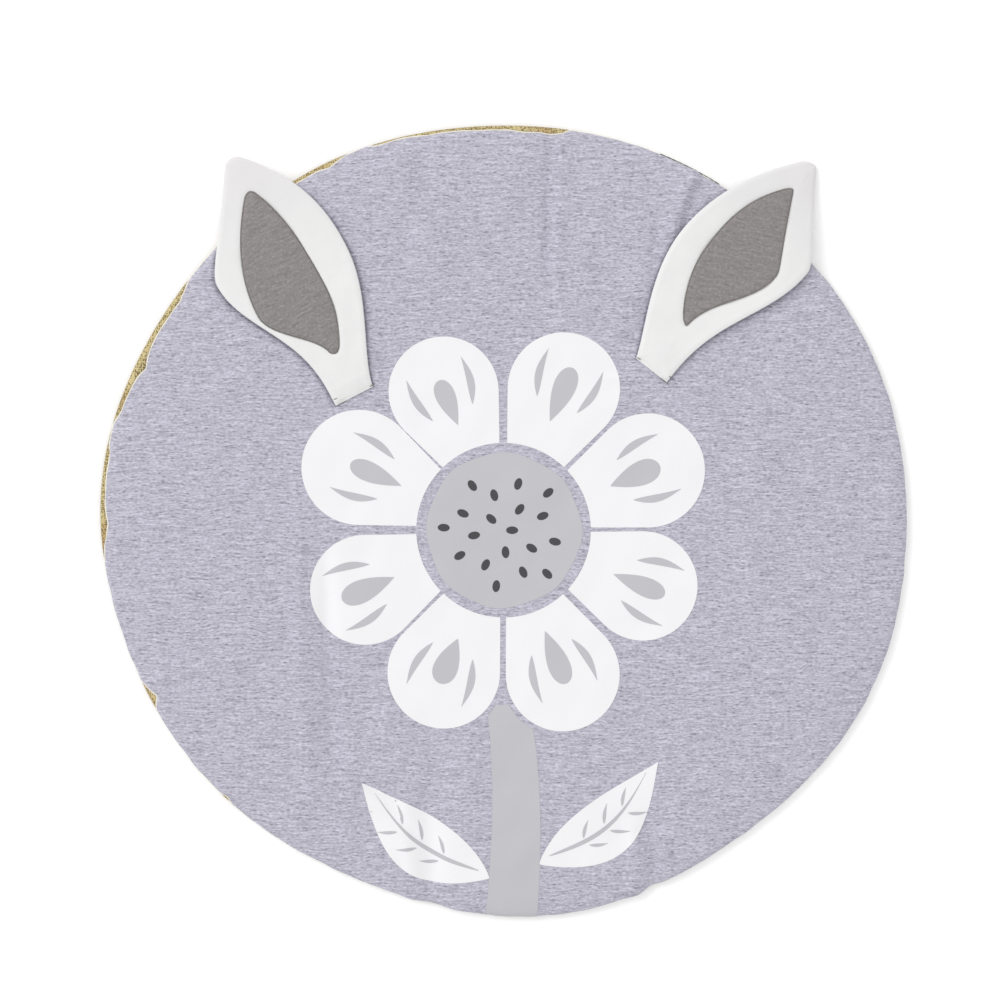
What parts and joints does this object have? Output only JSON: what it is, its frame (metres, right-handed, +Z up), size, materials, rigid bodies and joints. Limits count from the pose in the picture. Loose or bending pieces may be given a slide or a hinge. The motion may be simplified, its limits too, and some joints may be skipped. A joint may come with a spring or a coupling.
{
  "type": "baby play mat",
  "caption": "Round padded baby play mat lying flat: marl jersey top with its padding, flecked backing turned up to the edge seam, and soft sewn-on leaf flaps.",
  "frame": {"origin": "middle of the mat's box, on the floor", "axes": "+Z up out of the mat's face, +Y towards the end with the flaps, +X to the right along the mat's longer way across"},
  "size_m": [0.9017, 0.8846, 0.0284],
  "materials": {
    "marl_jersey": "lilac-grey marl cotton jersey with a printed blossom",
    "backing_cotton": "mustard cotton with small dark flecks",
    "white_cotton": "white brushed cotton",
    "taupe_jersey": "taupe marl cotton jersey"
  },
  "bodies": {
    "root": {"padded_body": "marl_jersey", "backing_sheet": "backing_cotton", "leaf_flap_left": "white_cotton", "leaf_flap_right": "white_cotton", "leaf_panel_left": "taupe_jersey", "leaf_panel_right": "taupe_jersey"}
  },
  "joints": []
}
